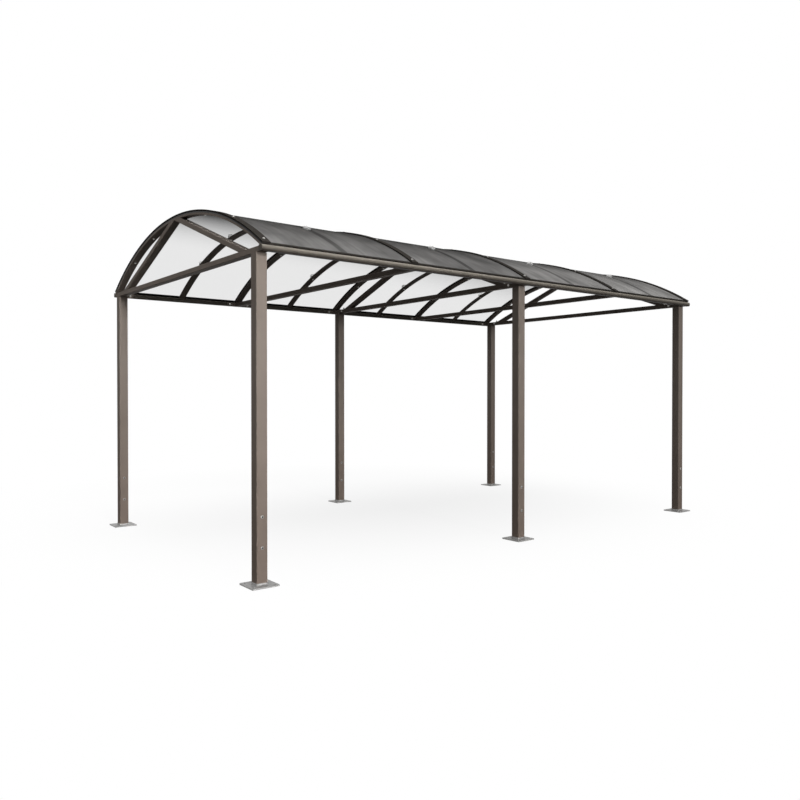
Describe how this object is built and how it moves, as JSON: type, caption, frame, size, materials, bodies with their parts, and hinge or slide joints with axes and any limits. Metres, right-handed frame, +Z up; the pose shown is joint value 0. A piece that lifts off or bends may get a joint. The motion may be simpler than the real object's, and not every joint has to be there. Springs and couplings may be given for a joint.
{
  "type": "bike shelter",
  "caption": "Free-standing open-sided bike shelter: square posts on bolted base plates, eaves beams and trussed frames carry a barrel roof of curved smoked see-through sheets.",
  "frame": {"origin": "middle of the footprint at ground level, under the crown line of the roof", "axes": "+X along the eaves, +Y across the span from the front eaves to the back eaves, +Z up"},
  "size_m": [5.2, 3.0598, 2.7114],
  "materials": {
    "frame_paint": "fine matt powder coat, warm grey-brown",
    "dark_capping": "dark bronze coated capping, satin",
    "smoked_sheet": "lightly smoked multiwall polycarbonate, glossy",
    "black_seal": "black rubber seal, dull",
    "galvanised_steel": "hot-dip galvanised, dull"
  },
  "bodies": {
    "root": {"post_front_1": "frame_paint", "post_foot_front_1": "galvanised_steel", "rafter_front_1": "frame_paint", "post_front_2": "frame_paint", "post_foot_front_2": "galvanised_steel", "rafter_front_2": "frame_paint", "post_front_3": "frame_paint", "post_foot_front_3": "galvanised_steel", "rafter_front_3": "frame_paint", "eaves_beam_front": "frame_paint", "sheet_edge_trims_front": "dark_capping", "beam_cleats_front": "frame_paint", "post_back_1": "frame_paint", "post_foot_back_1": "galvanised_steel", "rafter_back_1": "frame_paint", "post_back_2": "frame_paint", "post_foot_back_2": "galvanised_steel", "rafter_back_2": "frame_paint", "post_back_3": "frame_paint", "post_foot_back_3": "galvanised_steel", "rafter_back_3": "frame_paint", "eaves_beam_back": "frame_paint", "sheet_edge_trims_back": "dark_capping", "beam_cleats_back": "frame_paint", "eaves_beam_end_caps": "frame_paint", "sheet_end_seals": "black_seal", "arch_1": "frame_paint", "arch_2": "frame_paint", "arch_3": "frame_paint", "arch_4": "frame_paint", "arch_5": "frame_paint", "arch_6": "frame_paint", "arch_7": "frame_paint", "arch_8": "frame_paint", "arch_9": "frame_paint", "tie_1": "frame_paint", "cover_strip_1": "dark_capping", "tie_2": "frame_paint", "cover_strip_2": "dark_capping", "tie_3": "frame_paint", "cover_strip_3": "dark_capping", "tie_4": "frame_paint", "cover_strip_4": "dark_capping", "tie_5": "frame_paint", "cover_strip_5": "dark_capping", "roof_sheet_1": "smoked_sheet", "roof_sheet_2": "smoked_sheet", "roof_sheet_3": "smoked_sheet", "roof_sheet_4": "smoked_sheet"}
  },
  "joints": []
}
